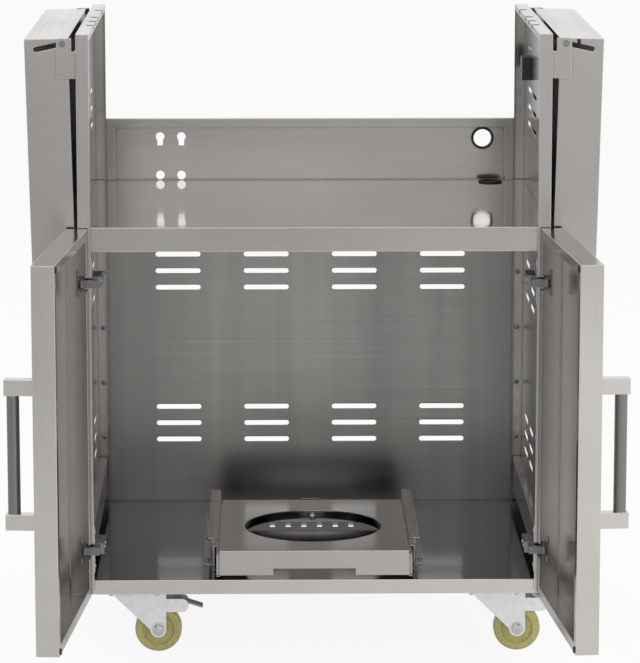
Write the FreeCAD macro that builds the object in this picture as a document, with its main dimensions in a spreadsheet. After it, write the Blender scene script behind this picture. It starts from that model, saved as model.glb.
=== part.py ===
import FreeCAD, Part
import os
import re

# A stainless grill cart: a cabinet on casters with two doors, a tank tray on
# drawer slides, a deck for the grill head and two side shelves that fold down.
# Millimetres, +Z up, the floor at Z = 0, the cart's mid plane at X = 0.

SIZES = {
    # cabinet
    "cart_width": 742, "cart_depth": 568, "top_height": 1000, "deck_height": 697,
    "floor_height": 129, "base_height": 106, "front_place": -98.31, "sheet": 1.5,
    "flange": 20, "lip": 10, "apron_drop": 38, "upper_back": 107, "rim": 15, "rim_lift": 8,
    "rail_lift": 28, "rail_high": 52, "rail_reach": 16, "fit_gap": 0.3, "overshoot": 1,
    "base_rail_front": 15, "base_rail_width": 80,
    # vents
    "vent_length": 78, "vent_slot": 8.5, "vent_pitch": 29, "vent_column": 152.8,
    "vent_low": 240, "vent_high": 509, "vent_upper": 109, "side_vent_front": 342, "side_vent_rear": 455,
    "floor_vent": 8.5, "floor_vent_length": 85, "floor_vent_pitch": 26.7, "floor_vent_place": 410,
    "top_slot": 12, "top_slot_length": 20, "top_slot_drop": 8,
    "top_slot_first": 164, "top_slot_second": 237, "top_slot_third": 312, "top_slot_last": 447,
    # back panel holes and grommets
    "keyhole_place": 258.5, "keyhole_pitch": 36.5, "keyhole_radius": 7.5, "keyhole_slot": 10,
    "keyhole_lift": 75, "hole_lift": 72, "low_hole_lift": 8.5, "grommet_place": 297, "grommet_hole": 16.8,
    "grommet_wall": 1.5, "grommet_lip": 2.5, "grommet_gap": 0.1,
    "deck_grommet_place": 309, "deck_grommet_setback": 33, "deck_grommet_hole": 17.5,
    # deck stiffeners and screws
    "stiffener_place": 44, "stiffener_width": 30, "stiffener_drop": 20,
    "screw_head": 4, "screw_lift": 2, "screw_low": 244, "screw_pitch": 97, "screw_inset": 11,
    # connector box
    "socket_width": 15, "socket_depth": 40, "socket_high": 38, "socket_drop": 79, "socket_setback": 98,
    "groove_depth": 2, "groove_width": 3,
    # side shelves
    "shelf_out": 21, "shelf_drop": 15, "shelf_thick": 68, "shelf_inner": 9, "shelf_over": 8,
    "shelf_length": 375, "shelf_end": 8, "shelf_rim": 14, "lean_angle": 1.25,
    "slot_length": 42, "slot_width": 8.1, "slot_angle": 11, "slot_mouth": 20, "slot_mouth_width": 6,
    "bracket_thick": 2.5, "bracket_front": 3, "bracket_over": 9, "bracket_under": 54,
    "bracket_outer": 9, "bracket_leg": 45, "bracket_round": 4,
    "bracket_relief": 6.5, "bracket_relief_high": 21,
    "pin_radius": 4, "pin_head": 4.8, "pin_head_lift": 1.5, "pin_reach": 16, "bore_gap": 0.05,
    # doors
    "door_gap": 3, "door_thick": 35, "door_bottom": 106, "door_drop": 1, "door_reveal": 1.5, "door_rim": 16,
    "door_angle": 94.6, "hinge_inset": 6, "hinge_setback": 12.3, "hinge_low": 180, "hinge_high": 610,
    "hinge_link": 12, "hinge_block_high": 18, "hinge_notch": 23, "notch_wide": 17, "hinge_pin": 2.5,
    "hinge_block": 14.5,
    "hinge_block_front": 6, "hinge_block_depth": 62, "hinge_nose": 8.5, "hinge_plate_high": 76, "ear": 3,
    "ear_half": 4, "ear_gap": 0.5, "link_half": 3.75, "cup_high": 40, "cup_thick": 2.5,
    "ear_trim": 0.2, "pin_end": 1,
    "handle_low": 294, "handle_high": 498, "handle_post": 24, "handle_post_thick": 9, "handle_reach": 46,
    "handle_bar": 9.5, "bar_inset": 12.4, "handle_inset": 30,
    "bumper_radius": 5, "bumper_lift": 2.5, "bumper_inset": 7,
    # tank tray and slides
    "tray_width": 302, "tray_depth": 366, "tray_lift": 47, "tray_front": 2, "tray_apron": 40,
    "tray_side": 36, "tray_notch": 132, "tray_notch_high": 11, "tank_hole": 112.5, "tank_hole_place": 175,
    "collar_drop": 14, "clamp_radius": 4, "clamp_drop": 8, "clamp_pad": 6, "clamp_pad_thick": 5,
    "clamp_gap": 9, "clamp_tail": 16, "wing_span": 34, "wing_thick": 4, "wing_high": 14,
    "slide_high": 45, "slide_thick": 12.7, "slide_length": 355, "slide_front": 100, "slide_gap": 0.4,
    "slide_inset": 4, "outer_reach": 4, "middle_reach": 2.5, "inner_reach": 6, "foot": 16,
    # casters
    "caster_place": 289, "caster_front": 55, "caster_rear": 55, "caster_height": 106, "caster_trail": 38,
    "caster_plate_long": 92, "caster_plate_wide": 65, "plate_thick": 3, "wheel_radius": 37.5,
    "wheel_width": 25, "wheel_round": 5, "axle_radius": 5, "axle_head": 9, "axle_head_lift": 5,
    "fork_gap": 2, "fork_leg": 2.5, "crown": 28, "fork_lead": 38, "fork_tip": 13, "crown_drop": 7,
    "kingpin": 6, "king_head": 3, "wheel_rim": 12, "wheel_hub": 10, "web_recess": 3,
    "lever_rise": 40, "lever_place": 38, "lobe": 11, "lever_radius": 8, "lever_pin": 2.4,
    "lever_long": 33, "lever_back": 17, "lever_wide": 22, "lever_thick": 3, "lever_angle": 18,
}

doc = FreeCAD.newDocument("grill_cart")
sheet = doc.addObject("Spreadsheet::Sheet", "dims")
for row, (alias, number) in enumerate(SIZES.items(), start=1):
    sheet.set(f"A{row}", alias)
    sheet.set(f"B{row}", str(number))
    sheet.setAlias(f"B{row}", alias)
doc.recompute()

nodes = {}


def sized(text):
    """An expression over the sheet, from plain size names."""
    return re.sub(r"[a-z_]+", lambda m: "dims." + m[0] if m[0] in SIZES else m[0], str(text))


def value(alias):
    """The present number of one size."""
    return float(sheet.get(alias))


def bind(obj, **sizes):
    for name, text in sizes.items():
        obj.setExpression(name, sized(text))
    return obj


def place(obj, x, y, z):
    """Binds where an object stands, with Y counted from the cabinet's front."""
    for axis, text in zip("xyz", (x, f"front_place + ({y})", z)):
        obj.setExpression(f"Placement.Base.{axis}", sized(text))
    return obj


def box(x, y, z, side=1):
    """A block between two places on each axis; side -1 mirrors it to the left."""
    obj = doc.addObject("Part::Box", "block")
    bind(obj, Length=f"({x[1]}) - ({x[0]})", Width=f"({y[1]}) - ({y[0]})", Height=f"({z[1]}) - ({z[0]})")
    start = x[0] if side > 0 else f"-({x[1]})"
    return place(obj, start, y[0], z[0])


def around(centre, size):
    """The span of a size that lies evenly about a place."""
    return f"{centre} - ({size}) / 2", f"{centre} + ({size}) / 2"


def past(low, high):
    """A span that a cut needs to come out of the metal at both ends."""
    return f"{low} - overshoot", f"{high} + overshoot"


TURNS = {
    "x": FreeCAD.Rotation(FreeCAD.Vector(0, 1, 0), 90),
    "y": FreeCAD.Rotation(FreeCAD.Vector(1, 0, 0), -90),
    "z": FreeCAD.Rotation(),
}


def rod(axis, at, span, radius, side=1):
    """A cylinder along one axis between two places, through a point on the other two."""
    obj = doc.addObject("Part::Cylinder", "rod")
    bind(obj, Radius=radius, Height=f"({span[1]}) - ({span[0]})")
    obj.Placement = FreeCAD.Placement(FreeCAD.Vector(), TURNS[axis])
    x, y, z = at
    if axis == "x":
        x = span[0] if side > 0 else f"-({span[1]})"
    else:
        x = f"{side} * ({x})"
    y = span[0] if axis == "y" else y
    z = span[0] if axis == "z" else z
    return place(obj, x, y, z)


def fuse(*parts):
    if len(parts) == 1:
        return parts[0]
    obj = doc.addObject("Part::MultiFuse", "joined")
    obj.Shapes = list(parts)
    obj.Refine = True
    return obj


def cut(base, *tools):
    obj = doc.addObject("Part::Cut", "cut")
    obj.Base = base
    obj.Tool = fuse(*tools)
    return obj


def group(*parts):
    """Several separate pieces that share one node."""
    obj = doc.addObject("Part::Compound", "group")
    obj.Links = list(parts)
    return obj


def name(label, obj):
    obj.Label = label
    nodes[label] = obj
    return obj


def turned(obj, axis, angle, x, y, z):
    """Turns a finished piece about a point, with Y counted from the cabinet's front."""
    centre = FreeCAD.Vector(x, value("front_place") + y, z)
    obj.Placement = FreeCAD.Placement(FreeCAD.Vector(), FreeCAD.Rotation(axis, angle), centre)
    return obj


ALONG_Y = FreeCAD.Vector(0, 1, 0)
ALONG_Z = FreeCAD.Vector(0, 0, 1)
SIDES = {"left": -1, "right": 1}
HALF = "cart_width / 2"
WALL = f"({HALF} - sheet)"
EDGE = f"({HALF} - flange)"
BACK = "cart_depth"
INSET = f"({EDGE} - fit_gap)"
VENT_ROWS = [f"vent_{level} + {row} * vent_pitch" for level in ("low", "high") for row in range(3)]


def slot_x(x, z, y):
    """A round-ended slot along X, cut through a wall that faces Y."""
    reach = "(vent_length - vent_slot) / 2"
    bar = box((f"{x} - {reach}", f"{x} + {reach}"), y, around(z, "vent_slot"))
    ends = [rod("y", (f"{x} + {s} * {reach}", 0, z), y, "vent_slot / 2") for s in (-1, 1)]
    return [bar, *ends]


def slot_y(y, z, x, side):
    """A round-ended slot along Y, cut through a wall that faces X."""
    reach = "(vent_length - vent_slot) / 2"
    bar = box(x, (f"{y} - {reach}", f"{y} + {reach}"), around(z, "vent_slot"), side)
    ends = [rod("x", (0, f"{y} + {s} * {reach}", z), x, "vent_slot / 2", side) for s in (-1, 1)]
    return [bar, *ends]


# Side panels: an outer wall with flanges turned inwards at the front, back, top and foot
def side_panel(label, side):
    tall = ("base_height", "top_height")
    deep = ("0", "cart_depth")
    inner = (EDGE, f"{EDGE} + sheet")
    folded = fuse(
        box((WALL, HALF), deep, tall, side),
        box((EDGE, HALF), ("0", "sheet"), tall, side),
        box((EDGE, HALF), ("cart_depth - sheet", "cart_depth"), tall, side),
        box((EDGE, HALF), deep, ("top_height - sheet", "top_height"), side),
        box((EDGE, HALF), deep, ("base_height", "base_height + sheet"), side),
        box(inner, ("0", "lip"), tall, side),
        box(inner, ("cart_depth - lip", "cart_depth"), tall, side),
        box(inner, deep, ("top_height - lip", "top_height"), side),
        box(inner, deep, ("base_height", "base_height + lip"), side),
    )
    through = past(WALL, HALF)
    rows = VENT_ROWS + [f"deck_height + vent_upper + {row} * vent_pitch" for row in range(3)]
    tools = []
    for column in ("side_vent_front", "side_vent_rear"):
        for z in rows:
            tools += slot_y(column, z, through, side)
    for centre in ("top_slot_first", "top_slot_second", "top_slot_third", "top_slot_last"):
        across = (f"{EDGE} - overshoot", f"{EDGE} + top_slot")
        down = ("top_height - top_slot_drop", "top_height + overshoot")
        tools.append(box(across, around(centre, "top_slot_length"), down, side))
    name(label, cut(folded, *tools))


# Rails along the inside of each wall, and rails across under the floor for the casters
def side_rail(label, side):
    inner = f"({WALL} - rail_reach)"
    deep = ("2 * sheet", "cart_depth - 2 * sheet")
    low = "(floor_height + rail_lift)"
    high = f"({low} + rail_high)"
    name(label, fuse(
        box((inner, f"{inner} + sheet"), deep, (low, high), side),
        box((inner, WALL), deep, (f"{high} - sheet", high), side),
        box((inner, WALL), deep, (low, f"{low} + sheet"), side),
    ))


def base_rail(label, low):
    high = f"{low} + base_rail_width"
    wide = (f"-({INSET} - sheet)", f"{INSET} - sheet")
    tall = ("caster_height", "floor_height - sheet")
    name(label, fuse(
        box(wide, (low, high), ("caster_height", "caster_height + sheet")),
        box(wide, (low, f"{low} + sheet"), tall),
        box(wide, (f"{high} - sheet", high), tall),
    ))


# Deck, floor and back panels
def deck_panel():
    skin = ("deck_height - sheet", "deck_height")
    folded = fuse(
        box((f"-{WALL}", WALL), ("lip + fit_gap", "cart_depth - lip - fit_gap"), skin),
        box((f"-{INSET}", INSET), ("0", "cart_depth"), skin),
        box((f"-{INSET}", INSET), ("0", "sheet"), ("deck_height - apron_drop", "deck_height")),
    )
    hole = rod("z", ("deck_grommet_place", "cart_depth - deck_grommet_setback", 0),
               past(*skin), "deck_grommet_hole")
    name("deck", cut(folded, hole))


def deck_stiffeners():
    def channel(side):
        low = "stiffener_place - stiffener_width / 2"
        high = "stiffener_place + stiffener_width / 2"
        deep = ("lip", "cart_depth - lip")
        foot = "deck_height - sheet - stiffener_drop"
        return fuse(
            box((low, high), deep, (foot, f"{foot} + sheet"), side),
            box((low, f"{low} + sheet"), deep, (foot, "deck_height - sheet"), side),
            box((f"{high} - sheet", high), deep, (foot, "deck_height - sheet"), side),
        )
    name("deck_stiffeners", group(channel(-1), channel(1)))


def floor_panel():
    skin = ("floor_height - sheet", "floor_height")
    folded = fuse(
        box((f"-{WALL}", WALL), ("lip + fit_gap", "cart_depth - lip - fit_gap"), skin),
        box((f"-{INSET}", INSET), ("0", "cart_depth"), skin),
        box((f"-{INSET}", INSET), ("0", "sheet"), ("base_height", "floor_height")),
    )
    tools = []
    for place_in_row in range(6):
        centre = f"({place_in_row} - 2.5) * floor_vent_pitch"
        along = around("floor_vent_place", "floor_vent_length")
        tools.append(box(around(centre, "floor_vent"), along, past(*skin)))
    name("floor_panel", cut(folded, *tools))


def lower_back_panel():
    wide = f"({HALF} - fit_gap)"
    plate = box((f"-{wide}", wide), (BACK, f"{BACK} + sheet"), ("base_height", "deck_height - fit_gap"))
    tools = []
    for column in (-1.5, -0.5, 0.5, 1.5):
        for z in VENT_ROWS:
            tools += slot_x(f"{column} * vent_column", z, past(BACK, f"{BACK} + sheet"))
    name("lower_back_panel", cut(plate, *tools))


def upper_back_panel():
    top = "(deck_height + upper_back)"
    wide = f"({HALF} - fit_gap)"
    proud = (f"{BACK} - rim_lift", BACK)
    raised = fuse(
        box((f"-{wide}", wide), (BACK, f"{BACK} + sheet"), ("deck_height", top)),
        box((f"-{INSET}", INSET), proud, (f"{top} - rim", top)),
        *[box((f"{INSET} - rim", INSET), proud, ("deck_height", top), side) for side in (-1, 1)],
    )
    through = past(BACK, f"{BACK} + sheet")
    tools = [rod("y", ("grommet_place", 0, "deck_height + hole_lift"), through, "grommet_hole")]
    for x in ("keyhole_place", "(keyhole_place - keyhole_pitch)"):
        tools += [
            rod("y", (f"-{x}", 0, "deck_height + keyhole_lift"), through, "keyhole_radius"),
            box(around(f"-{x}", "keyhole_slot"), through,
                ("deck_height + keyhole_lift - 2 * keyhole_radius", "deck_height + keyhole_lift")),
            rod("y", (f"-{x}", 0, "deck_height + low_hole_lift"), through, "keyhole_radius"),
        ]
    name("upper_back_panel", cut(raised, *tools))


def grommet(label, axis, at, wall, hole):
    """A rubber ring that grips both faces of a sheet."""
    skin = f"({hole} - grommet_gap)"
    low, high = wall
    name(label, cut(
        fuse(
            rod(axis, at, (f"{low} - grommet_lip", f"{high} + grommet_lip"), skin),
            rod(axis, at, (f"{low} - grommet_lip", low), f"{hole} + grommet_lip"),
            rod(axis, at, (high, f"{high} + grommet_lip"), f"{hole} + grommet_lip"),
        ),
        rod(axis, at, (f"{low} - 2 * grommet_lip", f"{high} + 2 * grommet_lip"), f"{skin} - grommet_wall"),
    ))


def back_panel_screws():
    heads = [
        rod("y", (f"{HALF} - screw_inset", 0, f"screw_low + {row} * screw_pitch"),
            ("cart_depth - sheet - screw_lift", "cart_depth - sheet"), "screw_head", side)
        for side in (-1, 1) for row in range(4)
    ]
    name("back_panel_screws", group(*heads))


def connector_box():
    inner = f"({WALL} - socket_width)"
    rear = "(cart_depth - socket_setback)"
    low = "(top_height - socket_drop - socket_high)"
    body = box((inner, WALL), (f"{rear} - socket_depth", rear), (low, f"{low} + socket_high"))
    waist = "socket_high / 3"
    groove = box((f"{inner} - overshoot", f"{inner} + groove_depth"), past(f"{rear} - socket_depth", rear),
                 (f"{low} + {waist}", f"{low} + {waist} + groove_width"))
    name("connector_box", cut(body, groove))


# Side shelves, hung on pins in two brackets each, leaning on the wall when folded
PIVOT_X = f"({HALF} + shelf_out)"
PIVOT_Z = "(top_height - shelf_drop)"


def shelf_brackets(label, side):
    plates = []
    tall = (f"{PIVOT_Z} - bracket_under", f"{PIVOT_Z} + bracket_over")
    outer = f"({PIVOT_X} + bracket_outer)"
    round_x = f"({outer} - bracket_round)"
    for front in (True, False):
        def deep(low, high):
            return (low, high) if front else (f"cart_depth - ({high})", f"cart_depth - ({low})")
        face = deep("bracket_front", "bracket_front + bracket_thick")
        corners = [
            rod("y", (round_x, 0, z), face, "bracket_round", side)
            for z in (f"{tall[0]} + bracket_round", f"{tall[1]} - bracket_round")
        ]
        bent = fuse(
            box((HALF, round_x), face, tall, side),
            box((round_x, outer), face, (f"{tall[0]} + bracket_round", f"{tall[1]} - bracket_round"), side),
            *corners,
            box((HALF, f"{HALF} + bracket_thick"), deep("bracket_front", "bracket_leg"), tall, side),
        )
        hole = rod("y", (PIVOT_X, 0, PIVOT_Z), past(*face), "pin_radius + bore_gap", side)
        relief = box((f"{HALF} - overshoot", f"{HALF} + bracket_relief"),
                     past(*deep("bracket_front", "bracket_leg")),
                     (f"{tall[1]} - bracket_relief_high", f"{tall[1]} + overshoot"), side)
        plates.append(cut(bent, hole, relief))
    name(label, group(*plates))


def shelf_pins():
    pins = []
    for side in (-1, 1):
        for front in (True, False):
            def deep(low, high):
                return (low, high) if front else (f"cart_depth - ({high})", f"cart_depth - ({low})")
            at = (PIVOT_X, 0, PIVOT_Z)
            pins.append(fuse(
                rod("y", at, deep("bracket_front - pin_head_lift", "pin_reach"), "pin_radius", side),
                rod("y", at, deep("bracket_front - pin_head_lift", "bracket_front"), "pin_head", side),
            ))
    name("shelf_pivot_pins", group(*pins))


def shelf_pan(label, side):
    inner = f"({PIVOT_X} - shelf_inner)"
    outer = f"({inner} + shelf_thick)"
    top = f"({PIVOT_Z} + shelf_over)"
    foot = f"({top} - shelf_length)"
    deep = ("shelf_end", "cart_depth - shelf_end")
    ends = [("shelf_end", "shelf_end + sheet"), ("cart_depth - shelf_end - sheet", "cart_depth - shelf_end")]
    far_rim = "cart_depth - shelf_end - shelf_rim"
    rims = [("shelf_end", "shelf_end + shelf_rim"), (far_rim, "cart_depth - shelf_end")]
    folded = fuse(
        box((f"{outer} - sheet", outer), deep, (foot, top), side),
        box((inner, outer), deep, (f"{top} - sheet", top), side),
        box((inner, outer), deep, (foot, f"{foot} + sheet"), side),
        box((inner, f"{inner} + sheet"), deep, (foot, f"{foot} + shelf_rim"), side),
        box((inner, f"{inner} + sheet"), deep, (f"{top} - shelf_rim", top), side),
        *[box((inner, outer), end, (foot, top), side) for end in ends],
        *[box((inner, f"{inner} + sheet"), end, (foot, top), side) for end in rims],
    )
    across = past(*deep)
    hollow = ("shelf_end + sheet", "cart_depth - shelf_end - sheet")
    run = box((PIVOT_X, f"{PIVOT_X} + slot_length"), across, around(PIVOT_Z, "slot_width"), side)
    heel = rod("y", (PIVOT_X, 0, PIVOT_Z), across, "slot_width / 2", side)
    toe = rod("y", (f"{PIVOT_X} + slot_length", 0, PIVOT_Z), across, "slot_width / 2", side)
    reach = value("cart_width") / 2 + value("shelf_out")
    pin = (side * reach, 0, value("top_height") - value("shelf_drop"))
    sloped = turned(fuse(run, heel, toe), ALONG_Y, side * value("slot_angle"), *pin)
    slots = [sloped]
    if side == SIDES["right"]:
        slots.append(box(around(f"{PIVOT_X} + slot_mouth", "slot_mouth_width"), across,
                         (f"{PIVOT_Z} - slot_width / 2", f"{top} + overshoot"), side))
    skin = box(past(inner, outer), hollow, past(foot, top), side)
    pan = cut(folded, cut(fuse(*slots), skin))
    turned(name(label, pan), ALONG_Y, side * value("lean_angle"), *pin)


# Doors: open-backed pans, drawn shut and then swung to where they stand at rest
DOOR_FREE = "door_reveal"
DOOR_HINGED = HALF
DOOR_BACK = "(-door_gap)"
DOOR_FACE = "(-door_gap - door_thick)"
DOOR_TOP = "(deck_height - door_drop)"
HINGE_X = f"({HALF} - hinge_inset)"
HINGE_Y = "(-hinge_setback)"
HINGES = ("hinge_low", "hinge_high")


def swing(obj, side):
    x = value("cart_width") / 2 - value("hinge_inset")
    return turned(obj, ALONG_Z, side * value("door_angle"), side * x, -value("hinge_setback"), 0)


def door_pan(label, side):
    wide = (DOOR_FREE, DOOR_HINGED)
    deep = (DOOR_FACE, DOOR_BACK)
    tall = ("door_bottom", DOOR_TOP)
    back = (f"{DOOR_BACK} - sheet", DOOR_BACK)
    folded = fuse(
        box(wide, (DOOR_FACE, f"{DOOR_FACE} + sheet"), tall, side),
        box(wide, deep, (f"{DOOR_TOP} - sheet", DOOR_TOP), side),
        box(wide, deep, ("door_bottom", "door_bottom + sheet"), side),
        box((DOOR_FREE, f"{DOOR_FREE} + sheet"), deep, tall, side),
        box((f"{DOOR_HINGED} - sheet", DOOR_HINGED), deep, tall, side),
        box(wide, back, (f"{DOOR_TOP} - door_rim", DOOR_TOP), side),
        box(wide, back, ("door_bottom", "door_bottom + door_rim"), side),
        box((DOOR_FREE, f"{DOOR_FREE} + door_rim"), back, tall, side),
        box((f"{DOOR_HINGED} - door_rim", DOOR_HINGED), back, tall, side),
    )
    across = (f"{DOOR_HINGED} - notch_wide", f"{DOOR_HINGED} + overshoot")
    inwards = (HINGE_Y, f"{DOOR_BACK} + overshoot")
    notches = [box(across, inwards, around(z, "hinge_notch"), side) for z in HINGES]
    swing(name(label, cut(folded, *notches)), side)


def hinge_cups(label, side):
    """A cup plate inside the door at each hinge, with two ears for the pin."""
    cups = []
    half = "(hinge_link / 2 + ear_gap)"
    seat = f"({HINGE_Y} - ear_half - 2 * ear_gap - cup_thick)"
    for z in HINGES:
        across = (f"{HINGE_X} - ear_half", f"{HINGE_X} + ear_half")
        deep = (seat, f"{HINGE_Y} + ear_half - ear_trim")
        bent = fuse(
            box((f"{HINGE_X} - ear_half", f"{DOOR_HINGED} - sheet"), (seat, f"{seat} + cup_thick"),
                around(z, "cup_high"), side),
            box(across, deep, (f"{z} + {half}", f"{z} + {half} + ear"), side),
            box(across, deep, (f"{z} - {half} - ear", f"{z} - {half}"), side),
        )
        bore = rod("z", (HINGE_X, HINGE_Y, 0), around(z, "2 * hinge_link"), "hinge_pin + bore_gap", side)
        cups.append(cut(bent, bore))
    swing(name(label, group(*cups)), side)


def hinge_pins(label, side):
    reach = "(hinge_link / 2 + ear_gap + ear + pin_end)"
    pins = [
        rod("z", (HINGE_X, HINGE_Y, 0), (f"{z} - {reach}", f"{z} + {reach}"), "hinge_pin", side)
        for z in HINGES
    ]
    swing(name(label, group(*pins)), side)


def hinge_arms(label, side):
    """The fixed half of each hinge: a block inside the cabinet and the cranked nose that carries the pin."""
    arms = []
    face = f"({EDGE} - sheet)"
    low = f"{HINGE_Y} - link_half"
    for z in HINGES:
        tall = around(z, "hinge_link")
        behind = ("hinge_block_front", "hinge_block_depth")
        bent = fuse(
            box((f"{face} - hinge_block", face), behind, around(z, "hinge_block_high"), side),
            box((f"{face} - hinge_nose", face), (low, "hinge_block_front"), tall, side),
            box((f"{face} - hinge_nose", HINGE_X), (low, f"{HINGE_Y} + link_half"), tall, side),
            rod("z", (HINGE_X, HINGE_Y, 0), tall, "ear_half", side),
        )
        bore = rod("z", (HINGE_X, HINGE_Y, 0), around(z, "2 * hinge_link"), "hinge_pin + bore_gap", side)
        arms.append(cut(bent, bore))
    name(label, group(*arms))


def hinge_plates():
    plates = [
        box((f"{EDGE} - sheet", EDGE), ("sheet", "lip"), around(z, "hinge_plate_high"), side)
        for side in (-1, 1) for z in HINGES
    ]
    name("hinge_plates", group(*plates))


def handle_posts(label, side):
    centre = f"({DOOR_FREE} + handle_inset)"
    posts = [
        box((f"{centre} - handle_post_thick", f"{centre} + handle_post_thick"),
            (f"{DOOR_FACE} - handle_reach", DOOR_FACE), (z, f"{z} + handle_post"), side)
        for z in ("handle_low", "handle_high")
    ]
    swing(name(label, group(*posts)), side)


def handle_bar(label, side):
    centre = f"({DOOR_FREE} + handle_inset)"
    bar = rod("z", (centre, f"{DOOR_FACE} - handle_reach + bar_inset", 0),
              ("handle_low + handle_post", "handle_high"), "handle_bar", side)
    swing(name(label, group(bar)), side)


def door_bumpers(label, side):
    deep = (DOOR_BACK, f"{DOOR_BACK} + bumper_lift")
    dots = [
        rod("y", (f"{DOOR_FREE} + bumper_inset", 0, z), deep, "bumper_radius", side)
        for z in ("door_bottom + bumper_inset", f"{DOOR_TOP} - bumper_inset")
    ]
    swing(name(label, group(*dots)), side)


# Tank tray on its pair of drawer slides
TRAY_TOP = "(floor_height + tray_lift)"
TRAY_SIDE = "(tray_width / 2)"
TRAY_BACK = "(tray_front + tray_depth)"
TANK_Y = "(tray_front + tank_hole_place)"
CLAMP_Z = f"({TRAY_TOP} - clamp_drop)"


def tank_tray():
    wide = (f"-{TRAY_SIDE}", TRAY_SIDE)
    deep = ("tray_front", TRAY_BACK)
    wall = (f"{TRAY_TOP} - tray_side", TRAY_TOP)
    folded = fuse(
        box(wide, deep, (f"{TRAY_TOP} - sheet", TRAY_TOP)),
        box(wide, ("tray_front", "tray_front + sheet"), (f"{TRAY_TOP} - tray_apron", TRAY_TOP)),
        box(wide, (f"{TRAY_BACK} - sheet", TRAY_BACK), (f"{TRAY_TOP} - tray_apron", TRAY_TOP)),
        *[box((f"{TRAY_SIDE} - sheet", TRAY_SIDE), deep, wall, side) for side in (-1, 1)],
        rod("z", (0, TANK_Y, 0), (f"{TRAY_TOP} - collar_drop", TRAY_TOP), "tank_hole + sheet"),
    )
    notch_foot = f"{TRAY_TOP} - tray_apron"
    name("tank_tray", cut(
        folded,
        rod("z", (0, TANK_Y, 0), (f"{TRAY_TOP} - 2 * collar_drop", f"{TRAY_TOP} + overshoot"), "tank_hole"),
        box(around(0, "tray_notch"), past("tray_front", "tray_front + sheet"),
            (f"{notch_foot} - overshoot", f"{notch_foot} + tray_notch_high")),
        rod("y", (0, 0, CLAMP_Z), (f"{TANK_Y} + tank_hole / 2", f"{TRAY_BACK} + overshoot"),
            "clamp_radius + bore_gap"),
    ))


def tank_clamp():
    tip = f"({TANK_Y} + tank_hole - clamp_gap)"
    tail = f"({TRAY_BACK} + clamp_tail)"
    at = (0, 0, CLAMP_Z)
    name("tank_clamp_screw", fuse(
        rod("y", at, (tip, tail), "clamp_radius"),
        rod("y", at, (f"{tip} - clamp_pad_thick", tip), "clamp_pad"),
        box(around(0, "wing_span"), (f"{tail} - wing_thick", tail), around(CLAMP_Z, "wing_high")),
    ))


def slide_member(side, inner, outer, start, shrink):
    """A C section that opens towards the tray, its flanges one step inside the next larger one."""
    deep = (start, f"{start} + slide_length")
    low = f"(floor_height + {shrink})"
    high = f"(floor_height + slide_high - {shrink})"
    return fuse(
        box((f"{outer} - sheet", outer), deep, (low, high), side),
        box((inner, outer), deep, (low, f"{low} + sheet"), side),
        box((inner, outer), deep, (f"{high} - sheet", high), side),
    )


SLIDE_STEP = "(sheet + slide_gap)"
SLIDE_OUTER = f"({TRAY_SIDE} + slide_thick)"
INNER_START = "(tray_front + slide_inset)"
MIDDLE_START = f"(({INNER_START} + slide_front) / 2)"


def drawer_slides():
    for label, side in SIDES.items():
        fixed = slide_member(side, f"{TRAY_SIDE} + outer_reach", SLIDE_OUTER, "slide_front", "0")
        name(f"{label}_slide_outer", fixed)
        foot_out = f"{SLIDE_OUTER} + foot"
        deep = ("slide_front", "slide_front + slide_length")
        top = "(floor_height + slide_high)"
        name(f"{label}_slide_bracket", fuse(
            box((SLIDE_OUTER, f"{SLIDE_OUTER} + sheet"), deep, ("floor_height", top), side),
            box((SLIDE_OUTER, foot_out), deep, ("floor_height", "floor_height + sheet"), side),
            box((SLIDE_OUTER, f"{SLIDE_OUTER} + foot / 2"), deep, (f"{top} - sheet", top), side),
        ))
    nested = (f"{TRAY_SIDE} + middle_reach", f"{SLIDE_OUTER} - {SLIDE_STEP}")
    name("slide_middle_members", group(*[
        slide_member(side, *nested, MIDDLE_START, SLIDE_STEP) for side in (-1, 1)
    ]))
    inner_low = f"floor_height + 2 * {SLIDE_STEP}"
    inner_high = f"floor_height + slide_high - 2 * {SLIDE_STEP}"
    deep = (INNER_START, f"{INNER_START} + slide_length")
    flange = (TRAY_SIDE, f"{TRAY_SIDE} + inner_reach")
    name("slide_inner_members", group(*[
        fuse(
            box((TRAY_SIDE, f"{TRAY_SIDE} + sheet"), deep, (inner_low, inner_high), side),
            box(flange, deep, (inner_low, f"{inner_low} + sheet"), side),
            box(flange, deep, (f"{inner_high} - sheet", inner_high), side),
        )
        for side in (-1, 1)
    ]))


# Casters: a plate under the rail, a swivelling fork, its wheel and axle, and a foot lever on the front pair
CASTERS = {
    "front_left": (-1, "caster_front", True),
    "front_right": (1, "caster_front", True),
    "rear_left": (-1, "(cart_depth - caster_rear)", False),
    "rear_right": (1, "(cart_depth - caster_rear)", False),
}
FORK_INNER = "(wheel_width / 2 + fork_gap)"
FORK_OUTER = f"({FORK_INNER} + fork_leg)"
CROWN_TOP = "(caster_height - plate_thick - fit_gap)"


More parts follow.
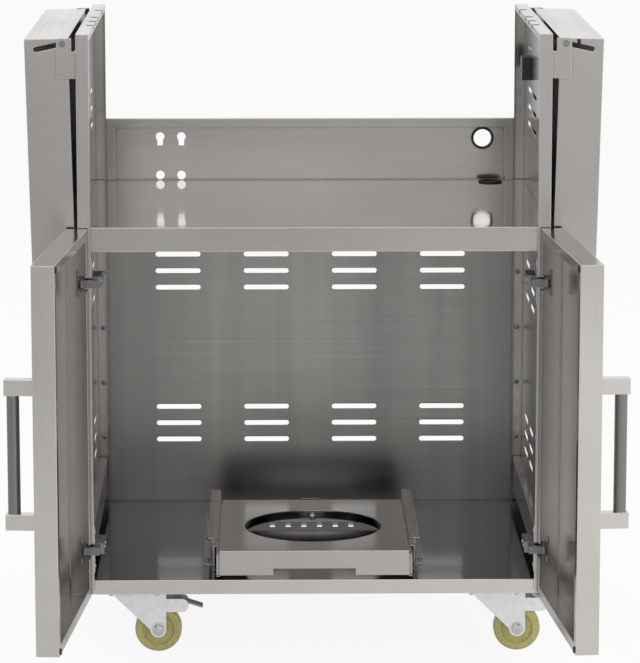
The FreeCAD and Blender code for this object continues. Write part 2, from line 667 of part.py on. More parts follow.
def caster(label, side, y, braked):
    x = f"({side} * caster_place)"
    wheel_x = f"({x} + caster_trail)"
    at = (wheel_x, y, "wheel_radius")
    base = "caster_height - plate_thick"
    king_foot = "caster_height - crown_drop - plate_thick"
    plate = fuse(
        box(around(x, "caster_plate_long"), around(y, "caster_plate_wide"), (base, "caster_height")),
        rod("z", (x, y, 0), (f"{king_foot} - king_head", base), "kingpin"),
        rod("z", (x, y, 0), (f"{king_foot} - king_head", f"{king_foot} - fit_gap"), "kingpin + king_head"),
    )
    crown = rod("z", (x, y, 0), (king_foot, CROWN_TOP), "crown")
    legs = []
    leg_spans = ((f"-{FORK_OUTER}", f"-{FORK_INNER}"), (FORK_INNER, FORK_OUTER))
    for low, high in leg_spans:
        leg = doc.addObject("Part::Wedge", "leg")
        bind(leg, Xmin="-fork_lead", Xmax="caster_trail + fork_tip", Ymin="0",
             Ymax="caster_height - crown_drop - wheel_radius",
             X2min="caster_trail - fork_tip", X2max="caster_trail + fork_tip",
             Zmin=low, Zmax=high, Z2min=low, Z2max=high)
        leg.Placement = FreeCAD.Placement(FreeCAD.Vector(), TURNS["y"])
        legs.append(place(leg, x, y, "caster_height - crown_drop"))
        legs.append(rod("y", at, (f"{y} + {low}", f"{y} + {high}"), "fork_tip"))
    across = (f"{y} - {FORK_OUTER}", f"{y} + {FORK_OUTER}")
    parts = [crown, *legs]
    lever_at = (f"{wheel_x} + lever_place", y, "wheel_radius + lever_rise")
    if braked:
        lobe_long = (wheel_x, lever_at[0])
        lobe_tall = (f"{lever_at[2]} - lobe", f"{lever_at[2]} + lobe")
        for low, high in leg_spans:
            span = (f"{y} + {low}", f"{y} + {high}")
            parts += [box(lobe_long, span, lobe_tall), rod("y", lever_at, span, "lobe")]
        parts.append(rod("y", lever_at, across, "lever_pin"))
    fork = cut(
        fuse(*parts),
        rod("z", (x, y, 0), (f"{king_foot} - overshoot", "caster_height"), "kingpin + bore_gap"),
        rod("y", at, past(*across), "axle_radius + bore_gap"),
    )
    name(f"caster_fork_{label}", fork)
    tread = doc.addObject("Part::Fillet", "tread")
    tread.Base = rod("y", at, around(y, "wheel_width"), "wheel_radius")
    doc.recompute()
    round_over = value("wheel_round")
    rims = [n for n, edge in enumerate(tread.Base.Shape.Edges, start=1) if edge.isClosed()]
    tread.Edges = [(n, round_over, round_over) for n in rims]
    recesses = []
    for face in (f"({y} - wheel_width / 2)", f"({y} + wheel_width / 2)"):
        deep = around(face, "2 * web_recess")
        recesses.append(cut(rod("y", at, deep, "wheel_radius - wheel_rim"), rod("y", at, deep, "wheel_hub")))
    bore = rod("y", at, around(y, "2 * wheel_width"), "axle_radius + bore_gap")
    wheel = cut(tread, *recesses, bore)
    name(f"caster_wheel_{label}", wheel)
    name(f"caster_axle_{label}", fuse(
        rod("y", at, (f"{across[0]} - axle_head_lift", f"{across[1]} + axle_head_lift"), "axle_radius"),
        rod("y", at, (f"{across[0]} - axle_head_lift", across[0]), "axle_head"),
        rod("y", at, (across[1], f"{across[1]} + axle_head_lift"), "axle_head"),
    ))
    if braked:
        inner = (f"{y} - {FORK_INNER} + fit_gap", f"{y} + {FORK_INNER} - fit_gap")
        pedal_top = f"{lever_at[2]} + lever_radius"
        pedal = box((f"{lever_at[0]} - lever_back", f"{lever_at[0]} + lever_long"), around(y, "lever_wide"),
                    (f"{pedal_top} - lever_thick", pedal_top))
        lever = cut(fuse(rod("y", lever_at, inner, "lever_radius"), pedal),
                    rod("y", lever_at, past(*across), "lever_pin + bore_gap"))
        name(f"brake_lever_{label}", lever)
        turned(lever, ALONG_Y, value("lever_angle"),
               side * value("caster_place") + value("caster_trail") + value("lever_place"),
               value("caster_front"), value("wheel_radius") + value("lever_rise"))
    return plate


for word, side in SIDES.items():
    side_panel(f"{word}_side_panel", side)
    side_rail(f"{word}_side_rail", side)
    shelf_brackets(f"{word}_shelf_brackets", side)
    shelf_pan(f"{word}_shelf_pan", side)
    door_pan(f"{word}_door_pan", side)
    hinge_cups(f"{word}_hinge_cups", side)
    hinge_pins(f"{word}_hinge_pins", side)
    hinge_arms(f"{word}_hinge_arms", side)
    handle_posts(f"{word}_handle_posts", side)
    handle_bar(f"{word}_handle_bar", side)
    door_bumpers(f"{word}_door_bumpers", side)
base_rail("front_base_rail", "base_rail_front")
base_rail("rear_base_rail", "(cart_depth - base_rail_front - base_rail_width)")
deck_panel()
deck_stiffeners()
floor_panel()
lower_back_panel()
upper_back_panel()
grommet("back_grommet", "y", ("grommet_place", 0, "deck_height + hole_lift"),
        (BACK, f"{BACK} + sheet"), "grommet_hole")
grommet("deck_grommet", "z", ("deck_grommet_place", "cart_depth - deck_grommet_setback", 0),
        ("deck_height - sheet", "deck_height"), "deck_grommet_hole")
back_panel_screws()
connector_box()
shelf_pins()
hinge_plates()
tank_tray()
tank_clamp()
drawer_slides()
name("caster_plates", group(*[caster(label, *where) for label, where in CASTERS.items()]))
doc.recompute()

# Every object has to be sound before anything is written
for obj in doc.Objects:
    if "Invalid" in obj.State or "Error" in obj.State:
        raise RuntimeError(f"{obj.Label} failed: {obj.State}")
for label, obj in nodes.items():
    if obj.Shape.isNull() or not obj.Shape.isValid() or not obj.Shape.Solids:
        raise RuntimeError(f"{label} has no sound shape")

os.makedirs("parts", exist_ok=True)
whole = FreeCAD.BoundBox()
for label, obj in nodes.items():
    obj.Shape.exportStep(f"parts/{label}.step")
    whole.add(obj.Shape.BoundBox)
    print(label, len(obj.Shape.Solids), round(obj.Shape.Volume))
print(len(nodes), "sub-parts, box", whole)
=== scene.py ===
import bpy
import bmesh
import math
from mathutils import Matrix, Vector


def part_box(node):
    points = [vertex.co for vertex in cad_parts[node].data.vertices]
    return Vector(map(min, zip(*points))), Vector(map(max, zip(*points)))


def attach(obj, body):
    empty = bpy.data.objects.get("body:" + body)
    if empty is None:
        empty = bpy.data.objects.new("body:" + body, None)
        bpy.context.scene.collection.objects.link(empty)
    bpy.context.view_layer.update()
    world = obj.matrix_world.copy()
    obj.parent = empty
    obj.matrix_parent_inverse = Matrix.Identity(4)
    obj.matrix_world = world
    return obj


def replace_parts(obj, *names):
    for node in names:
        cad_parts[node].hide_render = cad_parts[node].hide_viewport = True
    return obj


# A stainless grill cart in a white studio, in metres: X to the right, Y to the back, Z up.
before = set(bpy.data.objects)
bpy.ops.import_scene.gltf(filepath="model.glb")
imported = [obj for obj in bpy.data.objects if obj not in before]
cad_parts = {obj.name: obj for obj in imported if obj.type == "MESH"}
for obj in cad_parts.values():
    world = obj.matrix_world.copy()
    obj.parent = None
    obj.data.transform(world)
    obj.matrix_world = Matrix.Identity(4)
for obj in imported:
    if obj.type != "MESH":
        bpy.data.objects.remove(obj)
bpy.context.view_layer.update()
scene = bpy.context.scene

PANEL_LOW, PANEL_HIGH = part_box("left_side_panel")
OUTER, FRONT, BACK = -PANEL_LOW[0], PANEL_LOW[1], PANEL_HIGH[1]
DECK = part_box("deck")[1][2]
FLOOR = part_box("floor_panel")[1][2]
SHEET = 0.0015
SIDES = (-1, 1)
EVEN = (1, 1, 1)
WHITE = (1, 1, 1)


# Shader nodes
def new_material(name, color, metallic, roughness):
    mat = bpy.data.materials.new(name)
    mat.use_nodes = True
    bsdf = mat.node_tree.nodes["Principled BSDF"]
    bsdf.inputs["Base Color"].default_value = (*color, 1)
    bsdf.inputs["Metallic"].default_value = metallic
    bsdf.inputs["Roughness"].default_value = roughness
    return mat, mat.node_tree, bsdf


def stretched(tree, scale, stretch=EVEN, detail=3.0):
    """Noise drawn out along the directions where stretch is small."""
    coords = tree.nodes.new("ShaderNodeTexCoord")
    mapping = tree.nodes.new("ShaderNodeMapping")
    mapping.inputs["Scale"].default_value = stretch
    noise = tree.nodes.new("ShaderNodeTexNoise")
    noise.inputs["Scale"].default_value = scale
    noise.inputs["Detail"].default_value = detail
    tree.links.new(coords.outputs["Object"], mapping.inputs["Vector"])
    tree.links.new(mapping.outputs["Vector"], noise.inputs["Vector"])
    return noise.outputs["Fac"]


def spread(tree, value, low, high, from_low=0.3, from_high=0.7):
    """A value carried from one range to another."""
    node = tree.nodes.new("ShaderNodeMapRange")
    node.inputs["From Min"].default_value = from_low
    node.inputs["From Max"].default_value = from_high
    node.inputs["To Min"].default_value = low
    node.inputs["To Max"].default_value = high
    tree.links.new(value, node.inputs["Value"])
    return node.outputs["Result"]


def ramp(tree, value, dark, light, low=0.3, high=0.7):
    """A colour between two by a value."""
    node = tree.nodes.new("ShaderNodeValToRGB")
    node.color_ramp.elements[0].position = low
    node.color_ramp.elements[0].color = (*dark, 1)
    node.color_ramp.elements[1].position = high
    node.color_ramp.elements[1].color = (*light, 1)
    tree.links.new(value, node.inputs["Fac"])
    return node.outputs["Color"]


# The Mix node's sockets go by number, because its floats and colours share names
MIX_FACTOR, MIX_FLOATS, MIX_COLORS = 0, (2, 3), (6, 7)
MIX_FLOAT_RESULT, MIX_COLOR_RESULT = 0, 2


def blended(tree, kind, first, second, factor=None):
    """Two colours blended by a factor, or fully where there is none."""
    mix = tree.nodes.new("ShaderNodeMix")
    mix.data_type = "RGBA"
    mix.blend_type = kind
    if factor is None:
        mix.inputs[MIX_FACTOR].default_value = 1.0
    else:
        tree.links.new(factor, mix.inputs[MIX_FACTOR])
    for socket, color in zip(MIX_COLORS, (first, second)):
        tree.links.new(color, mix.inputs[socket])
    return mix.outputs[MIX_COLOR_RESULT]


def math_node(tree, operation, first, second):
    """Two values worked together; the second may be a plain number."""
    node = tree.nodes.new("ShaderNodeMath")
    node.operation = operation
    tree.links.new(first, node.inputs[0])
    if isinstance(second, float):
        node.inputs[1].default_value = second
    else:
        tree.links.new(second, node.inputs[1])
    return node.outputs[0]


def edge_normal(tree, samples, radius):
    """The surface's normal, turned near edges as if they were rounded."""
    edge = tree.nodes.new("ShaderNodeBevel")
    edge.samples = samples
    edge.inputs["Radius"].default_value = radius
    return edge.outputs["Normal"]


# Painted shade in folds and where pieces meet, darkest where most closed in
CREVICE_SHADE_COLOR = (0.40, 0.39, 0.37)
CREVICE_REACH = 0.007
CREVICE_CLOSED, CREVICE_OPEN = 0.25, 0.8
# Painted highlight along the sheet's bends
BEND_RADIUS = 0.0018
BEND_TURNED, BEND_FLAT = 0.80, 0.98
FINE_SAMPLES, EDGE_SAMPLES = 6, 4


def crevices(tree):
    """Painted shade that darkens folds and the places where pieces meet, by how closed in each
    point is.
    """
    node = tree.nodes.new("ShaderNodeAmbientOcclusion")
    node.samples = FINE_SAMPLES
    node.inputs["Distance"].default_value = CREVICE_REACH
    closeness = node.outputs["AO"]
    return ramp(tree, closeness, CREVICE_SHADE_COLOR, WHITE, CREVICE_CLOSED, CREVICE_OPEN)


def bend_edges(tree):
    """Where the sheet bends: how far a rounded edge turns away from the flat face."""
    flat = tree.nodes.new("ShaderNodeNewGeometry")
    turn = tree.nodes.new("ShaderNodeVectorMath")
    turn.operation = "DOT_PRODUCT"
    tree.links.new(edge_normal(tree, FINE_SAMPLES, BEND_RADIUS), turn.inputs[0])
    tree.links.new(flat.outputs["Normal"], turn.inputs[1])
    return spread(tree, turn.outputs["Value"], 1.0, 0.0, BEND_TURNED, BEND_FLAT)


def rounded(tree, bsdf, height, strength, distance, radius):
    """Fine relief over edges that catch the light as if slightly rounded."""
    bump = tree.nodes.new("ShaderNodeBump")
    bump.inputs["Strength"].default_value = strength
    bump.inputs["Distance"].default_value = distance
    tree.links.new(height, bump.inputs["Height"])
    tree.links.new(edge_normal(tree, EDGE_SAMPLES, radius), bump.inputs["Normal"])
    tree.links.new(bump.outputs["Normal"], bsdf.inputs["Normal"])


# Materials
SHEET_TONE = 0.50
# Painted shade: the darker tone of inner parts and of faces that look into the cabinet
SHADED_INNER_TONE = 0.30
# Painted highlight: the lighter tone that the bends are blended towards
EDGE_HIGHLIGHT_TONE = 0.92
DARK_TINT = (0.955, 0.92, 0.87)
LIGHT_TINT = (1.03, 1.0, 0.955)
EDGE_RADIUS = 0.0024
GRAIN_DEPTH = 0.00008
FINE_GRAIN, WIDE_GRAIN = 2600, 220
GRAIN_PULL = 0.4
FACE_STARTS, FACE_FULL = 0.4, 0.9
GRAIN = {"x": (0.012, 1, 1), "y": (1, 0.012, 1), "z": (1, 1, 0.012)}
# Painted light and shade: the way a face must look to take one of the face tones
LOOKS = {"front": ("Y", -1), "top": ("Z", 1), "left": ("X", -1), "right": ("X", 1)}
CLOUDY = (4, EVEN, 0.88)
steels = {}


def brushed(along, tone=SHEET_TONE, rough=0.17, smear=0.05, haze=CLOUDY, **faces):
    """Brushed stainless sheet with its grain along one axis.

    smear is how far the grain draws reflections out across itself, and haze the scale,
    stretch and darkest tone of its cloudy marks. faces gives painted light and shade:
    other tones by the way a face looks, as if that side were lit or shaded.
    """
    numbers = [str(round(number * 100)) for number in (tone, rough, smear)]
    levels = [f"{way}{round(level * 100)}" for way, level in faces.items()]
    key = "_".join(["brushed", along, *numbers, *levels])
    if key in steels:
        return steels[key]
    mat, tree, bsdf = new_material(key, (tone, tone, tone), 1.0, rough)
    fine = stretched(tree, FINE_GRAIN, GRAIN[along])
    wide = stretched(tree, WIDE_GRAIN, GRAIN[along], detail=2)
    haze_scale, haze_stretch, haze_dark = haze
    cloud = stretched(tree, haze_scale, haze_stretch)

    def tinted(level):
        return ramp(tree, fine, [level * c for c in DARK_TINT], [level * c for c in LIGHT_TINT])

    color = tinted(tone)
    coords = tree.nodes.new("ShaderNodeTexCoord")
    split = tree.nodes.new("ShaderNodeSeparateXYZ")
    tree.links.new(coords.outputs["Normal"], split.inputs[0])
    # Painted light and shade: each face takes a lighter or darker tone by which way it looks
    for way, level in faces.items():
        axis, sign = LOOKS[way]
        looks = split.outputs[axis]
        facing = spread(tree, looks, 0.0, 1.0, FACE_STARTS * sign, FACE_FULL * sign)
        color = blended(tree, "MIX", color, tinted(level), facing)
    color = blended(tree, "MULTIPLY", color, ramp(tree, cloud, [haze_dark] * 3, WHITE))
    # Painted shade: folds and joints darkened by ambient occlusion
    color = blended(tree, "MULTIPLY", color, crevices(tree))
    # Painted highlight: bends lightened as if they caught the light
    edge_highlighted = blended(tree, "MIX", color, tinted(EDGE_HIGHLIGHT_TONE), bend_edges(tree))
    tree.links.new(edge_highlighted, bsdf.inputs["Base Color"])
    tree.links.new(spread(tree, wide, rough - 0.025, rough + 0.03), bsdf.inputs["Roughness"])
    bsdf.inputs["Anisotropic"].default_value = GRAIN_PULL
    rounded(tree, bsdf, fine, smear, GRAIN_DEPTH, EDGE_RADIUS)
    steels[key] = mat
    return mat


def mottled(tree, bsdf, value, color, shade, shine):
    """Colour that wanders with a value between a darker and a lighter shade."""
    dark = [c * shade for c in color]
    light = [min(1, c * shine) for c in color]
    tree.links.new(ramp(tree, value, dark, light), bsdf.inputs["Base Color"])


def plated(name, color, rough):
    """Zinc or nickel plating: dull, faintly clouded metal."""
    mat, tree, bsdf = new_material(name, color, 1.0, rough)
    cloud = stretched(tree, scale=120, detail=4)
    mottled(tree, bsdf, cloud, color, shade=0.88, shine=1.05)
    tree.links.new(spread(tree, cloud, rough - 0.06, rough + 0.08), bsdf.inputs["Roughness"])
    rounded(tree, bsdf, cloud, strength=0.06, distance=0.0003, radius=0.0008)
    return mat


def moulded(name, color, rough, grain):
    """Rubber or plastic with a fine moulded grain."""
    mat, tree, bsdf = new_material(name, color, 0.0, rough)
    pores = stretched(tree, grain)
    mottled(tree, bsdf, pores, color, shade=0.85, shine=1.1)
    tree.links.new(spread(tree, pores, rough - 0.08, rough + 0.08), bsdf.inputs["Roughness"])
    rounded(tree, bsdf, pores, strength=0.08, distance=0.0003, radius=0.001)
    return mat


ZINC = plated("zinc_plate", (0.80, 0.82, 0.83), 0.44)
BRIGHT = plated("bright_steel", (0.55, 0.54, 0.53), 0.16)
HINGE = plated("hinge_steel", (0.27, 0.265, 0.255), 0.26)
SLIDE = plated("slide_steel", (0.40, 0.39, 0.38), 0.22)
LEVER = plated("lever_steel", (0.30, 0.30, 0.31), 0.34)
WELD = plated("weld_mark", (0.34, 0.33, 0.32), 0.42)
CREAM = moulded("cream_polymer", (0.52, 0.46, 0.17), 0.36, 160)
RUBBER = moulded("black_rubber", (0.018, 0.018, 0.018), 0.55, 500)
PLASTIC = moulded("black_plastic", (0.02, 0.02, 0.02), 0.42, 700)
# Painted shade: near black for the inside of the screws' cross recesses
RECESS_SHADE = moulded("recess_shade", (0.03, 0.03, 0.03), 0.7, 300)
NYLON = moulded("pale_nylon", (0.62, 0.61, 0.57), 0.45, 300)
BANDED = (13, (1, 1, 0.05), 0.72)

# Words in the nodes' names and their materials; the first word that fits counts
MATERIALS = {
    "deck_stiffeners": brushed("x", SHADED_INNER_TONE),
    "deck_grommet": RUBBER,
    # Painted light and shade: the deck's top is lighter and its front a shade darker
    "deck": brushed("x", rough=0.065, top=0.62, front=0.49),
    # Painted shade: the cabinet's floor is nearly black as if in shadow, its front edge painted
    # lighter as if lit
    "floor_panel": brushed("x", 0.17, rough=0.11, front=0.62),
    # Painted shade: the lower back panel is darker as if in the cabinet's shade
    "lower_back_panel": brushed("x", 0.36, rough=0.30, smear=0.4, haze=BANDED),
    # Painted light: the tray's front faces are lighter than the rest
    "tank_tray": brushed("x", 0.45, rough=0.16, front=SHEET_TONE),
    "upper_back_panel": brushed("x", 0.45),
    # Painted light and shade: the doors' forward faces are lighter, their inward faces darker
    "left_door_pan": brushed("z", front=0.63, right=0.36),
    "right_door_pan": brushed("z", front=0.63, left=0.36),
    "left_side_panel": brushed("z", right=SHADED_INNER_TONE),
    "right_side_panel": brushed("z", left=SHADED_INNER_TONE),
    "shelf_brackets": brushed("z"),
    "shelf_pan": brushed("y"),
    "side_rail": brushed("y", SHADED_INNER_TONE),
    "slide_bracket": brushed("y", SHADED_INNER_TONE),
    "base_rail": brushed("x", SHADED_INNER_TONE),
    # Painted light and shade: the handle's bars are darker and its posts lighter, though the
    # same steel
    "handle_bar": brushed("z", 0.25, rough=0.22),
    "handle_posts": brushed("x", 0.66, rough=0.24),
    "back_grommet": RUBBER,
    "bumper": RUBBER,
    "connector_box": PLASTIC,
    "caster_wheel": CREAM,
    "caster_axle": BRIGHT,
    "caster_": ZINC,
    "brake": LEVER,
    "hinge_plates": BRIGHT,
    "hinge_": HINGE,
    "slide": SLIDE,
    "screw": BRIGHT,
    "pins": HINGE,
}

for node_name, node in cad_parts.items():
    node.data.materials.clear()
    node.data.materials.append(next(MATERIALS[word] for word in MATERIALS if word in node_name))


# Shapes of the small hardware. Profiles are (radius, height) pairs, of a screw head or
# nut in shares of its own radius and height.
HEAD_CROWN = (
    (1, 0), (1, 0.35), (0.92, 0.68), (0.7, 0.92), (0.45, 1), (0.34, 0.97), (0.2, 0.45), (0, 0.3),
)
CROSS_RINGS, PIT_RING = slice(4, 6), 6
CROSS_ARMS, CROSS_DEPTH = 4, 0.5
NUT_SIDES = 6
NUT_RINGS = ((1, 0), (1, 0.85), (0.86, 1))
BOLT_END = ((0.5, 1), (0.5, 1.5), (0.4, 1.65), (0, 1.65))
WELD_MARK = ((0.0026, 0), (0.0024, 0.00012), (0.0012, 0.0002), (0, 0.00022))
AXLE_CAP = ((0.0088, -0.004), (0.0084, 0.0006), (0.006, 0.0018), (0.003, 0.0022), (0, 0.0022))
HUB_RING = ((0.0100, -0.0025), (0.0100, 0.0004), (0.0125, 0.0004), (0.0125, -0.0028))
WASHER = ((0, 0), (0.0058, 0), (0.0062, -0.0006), (0.0062, -0.0009))
ROUND_STEPS, FINE_STEPS = 20, 28
# Heads and nuts as (radius, height)
REAR_HEAD = (0.0040, 0.0020)
PLATE_HEAD = (0.0034, 0.0018)
ARM_HEAD = (0.0042, 0.0018)
FOOT_HEAD = (0.0036, 0.0020)
LEG_HEAD = (0.0036, 0.0018)
CASTER_NUT = (0.0062, 0.0045)
CLAMP_NUT = (0.0056, 0.0035)
SMOOTH_ANGLE = math.radians(40)


def finish_mesh(name, bm):
    bmesh.ops.recalc_face_normals(bm, faces=bm.faces)
    mesh = bpy.data.meshes.new(name)
    bm.to_mesh(mesh)
    bm.free()
    for face in mesh.polygons:
        face.use_smooth = True
    mesh.set_sharp_from_angle(angle=SMOOTH_ANGLE)
    return mesh


def add_piece(name, bm, materials, body):
    obj = bpy.data.objects.new(name, finish_mesh(name, bm))
    scene.collection.objects.link(obj)
    for material in materials:
        obj.data.materials.append(material)
    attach(obj, body)
    return obj


def stood(where, direction):
    """A frame at a point, with its Z along a direction."""
    turn = Vector(direction).to_track_quat("Z", "X").to_matrix().to_4x4()
    return Matrix.Translation(where) @ turn


def ring(bm, place, radius, height, steps):
    """Points evenly about a frame's Z, or its one point where the radius is nothing."""
    if radius == 0:
        return [bm.verts.new(place @ Vector((0, 0, height)))]
    angles = [2 * math.pi * k / steps for k in range(steps)]
    return [
        bm.verts.new(place @ Vector((radius * math.cos(a), radius * math.sin(a), height)))
        for a in angles
    ]


def lathe(bm, profile, where, direction, steps=FINE_STEPS):
    """Turns a profile about a line through a point, and gives its rings of points."""
    place = stood(where, direction)
    rings = [ring(bm, place, radius, height, steps) for radius, height in profile]
    for low, high in zip(rings, rings[1:]):
        for k in range(steps):
            after = (k + 1) % steps
            if len(low) == 1:
                bm.faces.new((low[0], high[k], high[after]))
            elif len(high) == 1:
                bm.faces.new((low[k], low[after], high[0]))
            else:
                bm.faces.new((low[k], low[after], high[after], high[k]))
    return rings


def scaled(profile, radius, lift):
    return [(radius * r, lift * h) for r, h in profile]


# Gives the faces round a point the second material, the painted recess shade
def darken(vert):
    for face in vert.link_faces:
        face.material_index = 1


def pan_head(bm, where, direction, radius, lift):
    """A domed screw head with a cross recess sunk into its crown, the recess's faces given the
    painted shade material.
    """
    rings = lathe(bm, scaled(HEAD_CROWN, radius, lift), where, direction)
    sunk = Vector(direction) * lift * CROSS_DEPTH
    for points in rings[CROSS_RINGS]:
        for arm in points[::len(points) // CROSS_ARMS]:
            arm.co -= sunk
            darken(arm)
    for point in rings[PIT_RING]:
        darken(point)


def hex_nut(bm, where, direction, radius, lift):
    """A chamfered nut with the end of its bolt standing out of it."""
    rings = lathe(bm, scaled(NUT_RINGS, radius, lift), where, direction, NUT_SIDES)
    bm.faces.new(rings[-1])
    lathe(bm, scaled(BOLT_END, radius, lift), where, direction, ROUND_STEPS)


def screws(name, places, radius, lift):
    """Screw heads on the cabinet, each at a point and looking in a direction."""
    bm = bmesh.new()
    for where, direction in places:
        pan_head(bm, where, direction, radius, lift)
    return add_piece(name, bm, (BRIGHT, RECESS_SHADE), "cart")


# Screws on the rear flanges
REAR_INSET = 0.011
REAR_LOW, REAR_PITCH, REAR_COUNT = 0.244, 0.097, 4
rear_fix = [
    ((side * (OUTER - REAR_INSET), BACK - SHEET, REAR_LOW + REAR_PITCH * row), (0, -1, 0))
    for side in SIDES for row in range(REAR_COUNT)
]
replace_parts(screws("rear_flange_screws", rear_fix, *REAR_HEAD), "back_panel_screws")

# Screws of the hinges' plates and arms
HINGE_ROWS = (0.180, 0.610)
PLATE_STEP, PLATE_SETBACK = 0.028, 0.0058
ARM_DEPTHS = (0.022, 0.047)
plate_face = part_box("hinge_plates")[1][0] - SHEET
arm_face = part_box("right_hinge_arms")[0][0]
plate_fix, arm_fix = [], []
for side in SIDES:
    for z in HINGE_ROWS:
        for step in (-PLATE_STEP, PLATE_STEP):
            place = (side * plate_face, FRONT + PLATE_SETBACK, z + step)
            plate_fix.append((place, (-side, 0, 0)))
        for depth in ARM_DEPTHS:
            arm_fix.append(((side * arm_face, FRONT + depth, z), (-side, 0, 0)))
screws("hinge_plate_screws", plate_fix, *PLATE_HEAD)
screws("hinge_arm_screws", arm_fix, *ARM_HEAD)

# Screws in the feet of the slide brackets
FOOT_SHARES = (0.08, 0.5, 0.92)
FOOT_INSET = 0.006
low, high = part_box("right_slide_bracket")
foot_fix = []
for side in SIDES:
    for share in FOOT_SHARES:
        y = low[1] + share * (high[1] - low[1])
        foot_fix.append(((side * (high[0] - FOOT_INSET), y, FLOOR + SHEET), (0, 0, 1)))
screws("slide_foot_screws", foot_fix, *FOOT_HEAD)

# Screws on the wall over the connector box
SOCKET_INSET, SOCKET_LIFT = 0.006, 0.012
low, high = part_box("connector_box")
socket_fix = [
    ((OUTER - SHEET, y, high[2] + SOCKET_LIFT), (-1, 0, 0))
    for y in (low[1] + SOCKET_INSET, high[1] - SOCKET_INSET)
]
screws("connector_screws", socket_fix, *FOOT_HEAD)

# Screws in the legs of the shelf brackets
BRACKET_REACH, BRACKET_THICK = 0.030, 0.0025
LEG_ROWS = (0.011, 0.031)
LEG_INSET = 0.030
leg_fix = []
for side, word in zip(SIDES, ("left", "right")):
    low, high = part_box(f"{word}_shelf_brackets")
    face = max(abs(low[0]), abs(high[0])) - BRACKET_REACH + BRACKET_THICK
    for row in LEG_ROWS:
        for y in (low[1] + LEG_INSET, high[1] - LEG_INSET):
            leg_fix.append(((side * face, y, low[2] + row), (side, 0, 0)))
screws("bracket_screws", leg_fix, *LEG_HEAD)

# Spot weld marks in pairs where the stiffeners hang under the deck
STIFFENER_PLACE = 0.044
WELD_SHARES = (0.14, 0.46, 0.78)
WELD_STEP, WELD_SLANT = 0.005, 0.4
bm = bmesh.new()
for side in SIDES:
    for share in WELD_SHARES:
        y = FRONT + share * (BACK - FRONT)
        for step in (-WELD_STEP, WELD_STEP):
            place = (side * STIFFENER_PLACE + step * WELD_SLANT, y + step, DECK)
            lathe(bm, WELD_MARK, place, (0, 0, 1), ROUND_STEPS)
add_piece("deck_weld_marks", bm, (WELD,), "cart")

# Nuts under the caster plates, axle caps and hub rings
PLATE_HALF_LONG, PLATE_HALF_WIDE, PLATE_THICK = 0.046, 0.0325, 0.003
NUT_LONG, NUT_WIDE = 0.037, 0.024
low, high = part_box("caster_plates")
bm = bmesh.new()
for x in (high[0] - PLATE_HALF_LONG, low[0] + PLATE_HALF_LONG):
    for y in (low[1] + PLATE_HALF_WIDE, high[1] - PLATE_HALF_WIDE):
        for dx in (-NUT_LONG, NUT_LONG):
            for dy in (-NUT_WIDE, NUT_WIDE):
                place = (x + dx, y + dy, high[2] - PLATE_THICK)
                hex_nut(bm, place, (0, 0, -1), *CASTER_NUT)
add_piece("caster_plate_nuts", bm, (BRIGHT,), "cart")


def both_ends(node_name, profile, x, z):
    """Turns a profile at the two ends of a node, about an axle along Y."""
    low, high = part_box(node_name)
    bm = bmesh.new()
    for y, way in ((low[1], -1), (high[1], 1)):
        lathe(bm, profile, (x, y, z), (0, way, 0))
    return bm


for where in ("front_left", "front_right", "rear_left", "rear_right"):
    low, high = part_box(f"caster_axle_{where}")
    x, z = (low[0] + high[0]) / 2, (low[2] + high[2]) / 2
    cap = both_ends(f"caster_axle_{where}", AXLE_CAP, x, z)
    add_piece(f"axle_cap_{where}", cap, (BRIGHT,), f"caster_{where}")
    hub = both_ends(f"caster_wheel_{where}", HUB_RING, x, z)
    add_piece(f"hub_ring_{where}", hub, (ZINC,), f"wheel_{where}")

# Washer and nut on the clamp screw's pad, and a nut on its far end
low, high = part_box("tank_clamp_screw")
clamp_z = (low[2] + high[2]) / 2
pad, tail = (0, low[1], clamp_z), (0, high[1], clamp_z)
bm = bmesh.new()
lathe(bm, WASHER, pad, (0, -1, 0))
hex_nut(bm, pad, (0, -1, 0), *CLAMP_NUT)
hex_nut(bm, tail, (0, 1, 0), *CLAMP_NUT)
add_piece("clamp_nuts", bm, (BRIGHT,), "tank_clamp")

# End blocks on the front of the inner slide members
BLOCK_THICK, BLOCK_LONG, BLOCK_MARGIN = 0.0040, 0.012, 0.004
BLOCK_INSET, BLOCK_ROUND = 0.0025, 0.0008
low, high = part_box("slide_inner_members")
block = (BLOCK_THICK, BLOCK_LONG, high[2] - low[2] - BLOCK_MARGIN)
bm = bmesh.new()
for side in SIDES:
    corners = bmesh.ops.create_cube(bm, size=1)["verts"]
    place = (side * (high[0] - BLOCK_INSET), low[1] + BLOCK_LONG / 2, (low[2] + high[2]) / 2)
    bmesh.ops.scale(bm, vec=block, verts=corners)
    bmesh.ops.translate(bm, vec=place, verts=corners)
bmesh.ops.bevel(bm, geom=bm.edges[:], offset=BLOCK_ROUND, segments=2, affect="EDGES")
add_piece("slide_end_blocks", bm, (NYLON,), "tray")

# Stage: a pale floor that looks white and keeps the shadow. In reflections it falls off
# to the left and far out to the front, so that the sheets differ in tone.
FLOOR_DARK, FLOOR_LIGHT = (0.89, 0.89, 0.89), (0.91, 0.91, 0.91)
FLOOR_GLOW = 0.9
FLOOR_SIZE = 14
floor_mat, tree, bsdf = new_material("studio_floor", (0.9, 0.9, 0.9), 0.0, 0.65)
pale = ramp(tree, stretched(tree, 3), FLOOR_DARK, FLOOR_LIGHT)
tree.links.new(pale, bsdf.inputs["Base Color"])
path = tree.nodes.new("ShaderNodeLightPath")
coords = tree.nodes.new("ShaderNodeTexCoord")
split = tree.nodes.new("ShaderNodeSeparateXYZ")
tree.links.new(coords.outputs["Object"], split.inputs[0])
across = spread(tree, split.outputs["X"], 0.66, 1.0, -1.0, 1.0)
along = spread(tree, split.outputs["Y"], 0.85, 1.0, -5.0, -1.0)
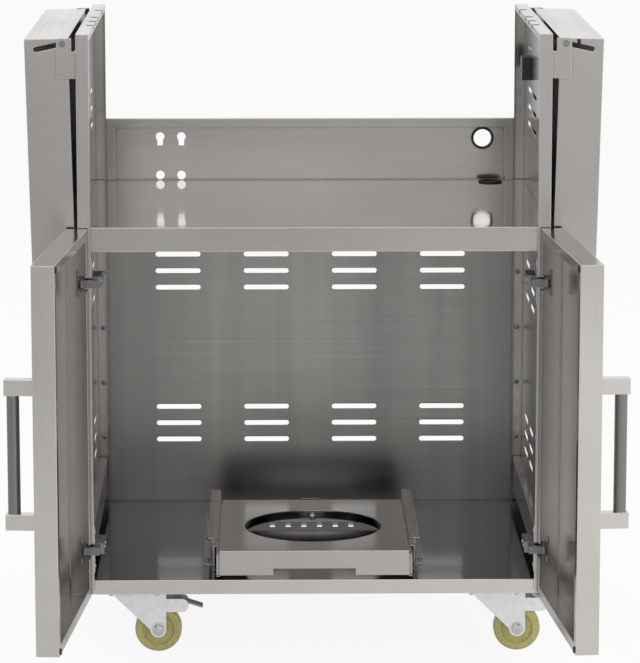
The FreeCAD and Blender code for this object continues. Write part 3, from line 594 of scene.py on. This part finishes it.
strength = tree.nodes.new("ShaderNodeMix")
straight, mirrored = (strength.inputs[socket] for socket in MIX_FLOATS)
straight.default_value = 1.0
tree.links.new(math_node(tree, "MULTIPLY", across, along), mirrored)
tree.links.new(path.outputs["Is Glossy Ray"], strength.inputs[MIX_FACTOR])
glow = tree.nodes.new("ShaderNodeEmission")
glow.inputs["Color"].default_value = (*WHITE, 1)
tree.links.new(strength.outputs[MIX_FLOAT_RESULT], glow.inputs["Strength"])
seen = math_node(tree, "MAXIMUM", path.outputs["Is Camera Ray"], path.outputs["Is Glossy Ray"])
blend = tree.nodes.new("ShaderNodeMixShader")
tree.links.new(math_node(tree, "MULTIPLY", seen, FLOOR_GLOW), blend.inputs["Fac"])
tree.links.new(bsdf.outputs[0], blend.inputs[1])
tree.links.new(glow.outputs[0], blend.inputs[2])
tree.links.new(blend.outputs[0], tree.nodes["Material Output"].inputs["Surface"])
bm = bmesh.new()
bmesh.ops.create_grid(bm, x_segments=4, y_segments=4, size=FLOOR_SIZE)
floor = bpy.data.objects.new("studio_floor", finish_mesh("studio_floor", bm))
floor.data.materials.append(floor_mat)
scene.collection.objects.link(floor)

# A soft sky for light, and plain white where it is seen or reflected
SKY_COLOR, SKY_STRENGTH = (0.95, 0.97, 1.0), 0.55
world = bpy.data.worlds.new("studio")
scene.world = world
world.use_nodes = True
tree = world.node_tree
sky = tree.nodes["Background"]
sky.inputs["Color"].default_value = (*SKY_COLOR, 1)
sky.inputs["Strength"].default_value = SKY_STRENGTH
white = tree.nodes.new("ShaderNodeBackground")
white.inputs["Color"].default_value = (*WHITE, 1)
white.inputs["Strength"].default_value = 1.0
path = tree.nodes.new("ShaderNodeLightPath")
seen = math_node(tree, "MAXIMUM", path.outputs["Is Camera Ray"], path.outputs["Is Glossy Ray"])
either = math_node(tree, "MAXIMUM", seen, path.outputs["Is Transmission Ray"])
blend = tree.nodes.new("ShaderNodeMixShader")
tree.links.new(either, blend.inputs["Fac"])
tree.links.new(sky.outputs[0], blend.inputs[1])
tree.links.new(white.outputs[0], blend.inputs[2])
tree.links.new(blend.outputs[0], tree.nodes["World Output"].inputs["Surface"])


# Lamps, all aimed at the middle of the cart
MIDDLE = Vector((0, 0, 0.5))


def area(name, place, size, power):
    light = bpy.data.lights.new(name, "AREA")
    light.shape = "RECTANGLE"
    light.size, light.size_y = size
    light.energy = power
    obj = bpy.data.objects.new(name, light)
    obj.location = place
    obj.rotation_euler = (MIDDLE - Vector(place)).to_track_quat("-Z", "Y").to_euler()
    # Sheet metal shows the white surroundings, and the lamp on top of them would clip
    obj.visible_glossy = False
    scene.collection.objects.link(obj)


area("key", place=(2.8, -3.2, 2.4), size=(3.4, 3.6), power=66)
area("fill", place=(-2.8, -3.0, 2.4), size=(2.8, 3.2), power=32)
area("top", place=(0, 0.2, 3.4), size=(4.0, 4.0), power=45)

# Camera, as fitted to the cabinet's edges in the photo
CAMERA_X, CAMERA_DISTANCE, CAMERA_HEIGHT = -0.0693, 5.4137, 1.4962
CAMERA_DOWN, CAMERA_TURN = 10.103, -0.826
camera_data = bpy.data.cameras.new("camera")
camera_data.lens = 189.5
camera_data.sensor_width = 36.0
camera_data.clip_end = 100
camera = bpy.data.objects.new("camera", camera_data)
camera.location = (CAMERA_X, FRONT - CAMERA_DISTANCE, CAMERA_HEIGHT)
camera.rotation_euler = (math.radians(90 - CAMERA_DOWN), 0, math.radians(CAMERA_TURN))
scene.collection.objects.link(camera)
scene.camera = camera

scene.view_settings.view_transform = "Standard"
